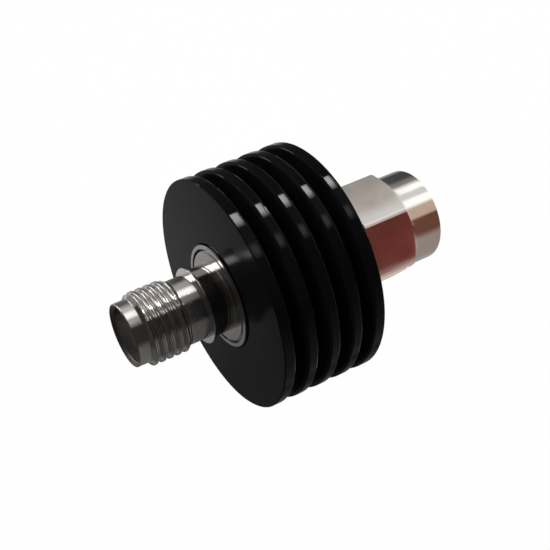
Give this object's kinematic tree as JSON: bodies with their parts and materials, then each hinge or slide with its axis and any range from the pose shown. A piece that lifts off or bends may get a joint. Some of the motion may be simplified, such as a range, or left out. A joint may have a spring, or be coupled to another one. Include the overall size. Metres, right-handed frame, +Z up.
{
  "type": "rf attenuator",
  "caption": "Fixed coaxial attenuator: threaded jack at one end, plug with a free-turning hexagonal coupling nut at the other, black finned heat sink round the body.",
  "frame": {"origin": "centre of the coupling nut's front rim, on which the part stands", "axes": "+Z up the common axis, from the plug towards the jack; a corner of the nut's hexagon lies at -Y"},
  "size_m": [0.02, 0.02, 0.0282],
  "materials": {
    "black_anodised": "black anodised, satin",
    "stainless": "fine turned, polished",
    "gold_plate": "gold plated",
    "ptfe": "waxy white",
    "ceramic": "ground ceramic",
    "film": "thin resistive film",
    "silicone": "soft moulded",
    "brass_block": "milled"
  },
  "bodies": {
    "attenuator": {"heat_sink": "black_anodised", "body_tube": "stainless", "jack_body": "stainless", "jack_insulator": "ptfe", "jack_contact": "gold_plate", "plug_body": "stainless", "plug_insulator": "ptfe", "plug_pin": "gold_plate", "nut_gasket": "silicone", "chip_card": "ceramic", "resistor_film": "film", "jack_pad": "gold_plate", "plug_pad": "gold_plate", "ground_strip_left": "gold_plate", "ground_strip_right": "gold_plate", "carrier_front": "brass_block", "carrier_rear": "brass_block"},
    "ring": {"retaining_ring": "stainless"},
    "nut": {"coupling_nut": "stainless"}
  },
  "joints": [
    {"name": "nut_float", "type": "slide", "parent": "attenuator", "child": "ring", "axis": [0, 0, -1], "range_m": [0, 0.0003]},
    {"name": "nut_turn", "type": "hinge", "parent": "ring", "child": "nut", "pos_m": [0, 0, 0.0064], "axis": [0, 0, 1], "continuous": true}
  ]
}
